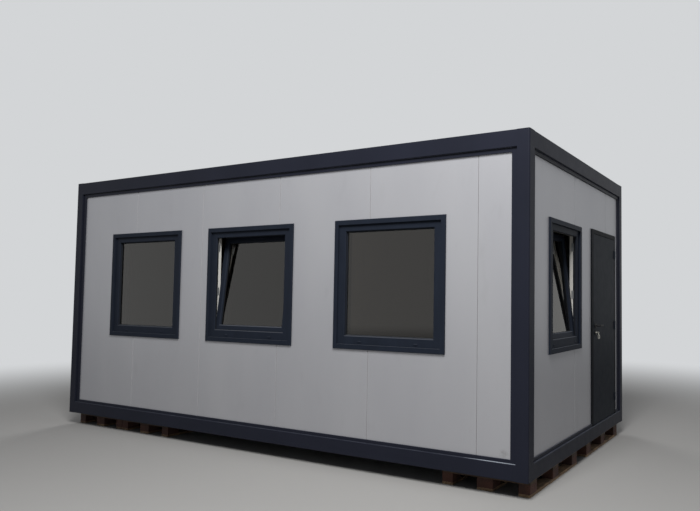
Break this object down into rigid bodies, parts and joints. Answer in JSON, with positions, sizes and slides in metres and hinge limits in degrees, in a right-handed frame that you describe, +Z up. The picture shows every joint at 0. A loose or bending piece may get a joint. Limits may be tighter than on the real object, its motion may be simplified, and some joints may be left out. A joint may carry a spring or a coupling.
{
  "type": "portable site cabin",
  "caption": "Flat-roofed steel-framed site cabin with sandwich panel walls, windows on a long side, a hinged end door and timber pallets under it.",
  "frame": {"origin": "on the ground under the middle of the cabin's footprint", "axes": "+X towards the end with the door, -Y towards the long side with the windows, +Z up"},
  "size_m": [6.046, 3, 2.944],
  "materials": {
    "frame_paint": "anthracite paint on bent steel",
    "panel_sheet": "silver-grey coated sheet on a foam core",
    "joist_steel": "galvanised",
    "galvanised_sheet": "galvanised",
    "floor_board": "board with a grey-brown floor covering",
    "ceiling_board": "white faced board",
    "window_plastic": "anthracite foil",
    "white_metal": "white lacquer",
    "glass": "clear double glazing",
    "door_paint": "anthracite paint",
    "threshold_metal": "mill",
    "handle_black": "black",
    "lock_metal": "nickel",
    "pallet_wood": "rough sawn, weathered"
  },
  "bodies": {
    "cabin": {"back_wall": "panel_sheet", "ceiling": "ceiling_board", "corner_post_back_left": "frame_paint", "corner_post_back_right": "frame_paint", "corner_post_front_left": "frame_paint", "corner_post_front_right": "frame_paint", "door_frame": "frame_paint", "door_threshold": "threshold_metal", "end_window_frame": "window_plastic", "end_window_glass": "glass", "end_window_sash": "window_plastic", "floor_deck": "floor_board", "floor_joists": "joist_steel", "floor_rail_back": "frame_paint", "floor_rail_front": "frame_paint", "floor_rail_left": "frame_paint", "floor_rail_right": "frame_paint", "floor_underside": "galvanised_sheet", "front_wall": "panel_sheet", "hinges_on_frame": "door_paint", "left_wall": "panel_sheet", "left_window_frame": "window_plastic", "left_window_glass": "glass", "left_window_sash": "window_plastic", "middle_window_frame": "window_plastic", "middle_window_glass": "glass", "middle_window_sash": "window_plastic", "pallet_blocks": "pallet_wood", "pallet_bottom_boards": "pallet_wood", "pallet_cross_boards": "pallet_wood", "pallet_deck_boards": "pallet_wood", "right_wall": "panel_sheet", "right_window_frame": "window_plastic", "right_window_glass": "glass", "right_window_sash": "window_plastic", "roof_joists": "joist_steel", "roof_rail_back": "frame_paint", "roof_rail_front": "frame_paint", "roof_rail_left": "frame_paint", "roof_rail_right": "frame_paint", "roof_sheet": "galvanised_sheet", "tilt_stays": "joist_steel", "wall_beside_door": "panel_sheet", "wall_over_door": "panel_sheet", "window_handles": "white_metal"},
    "door": {"door_leaf": "door_paint", "hinges_on_leaf": "door_paint", "lock_roses": "handle_black", "lock_cylinder": "lock_metal", "door_key": "lock_metal"},
    "handle": {"door_lever": "handle_black"}
  },
  "joints": [
    {"name": "door_swing", "type": "hinge", "parent": "cabin", "child": "door", "pos_m": [2.993, 1.1825, 1.3], "axis": [0, 0, 1], "range_deg": [0, 110]},
    {"name": "handle_turn", "type": "hinge", "parent": "door", "child": "handle", "pos_m": [2.961, 0.402, 1.304], "axis": [-1, 0, 0], "range_deg": [0, 45], "stiffness_Nm_per_rad": 1.5, "springref_deg": -22.92}
  ]
}
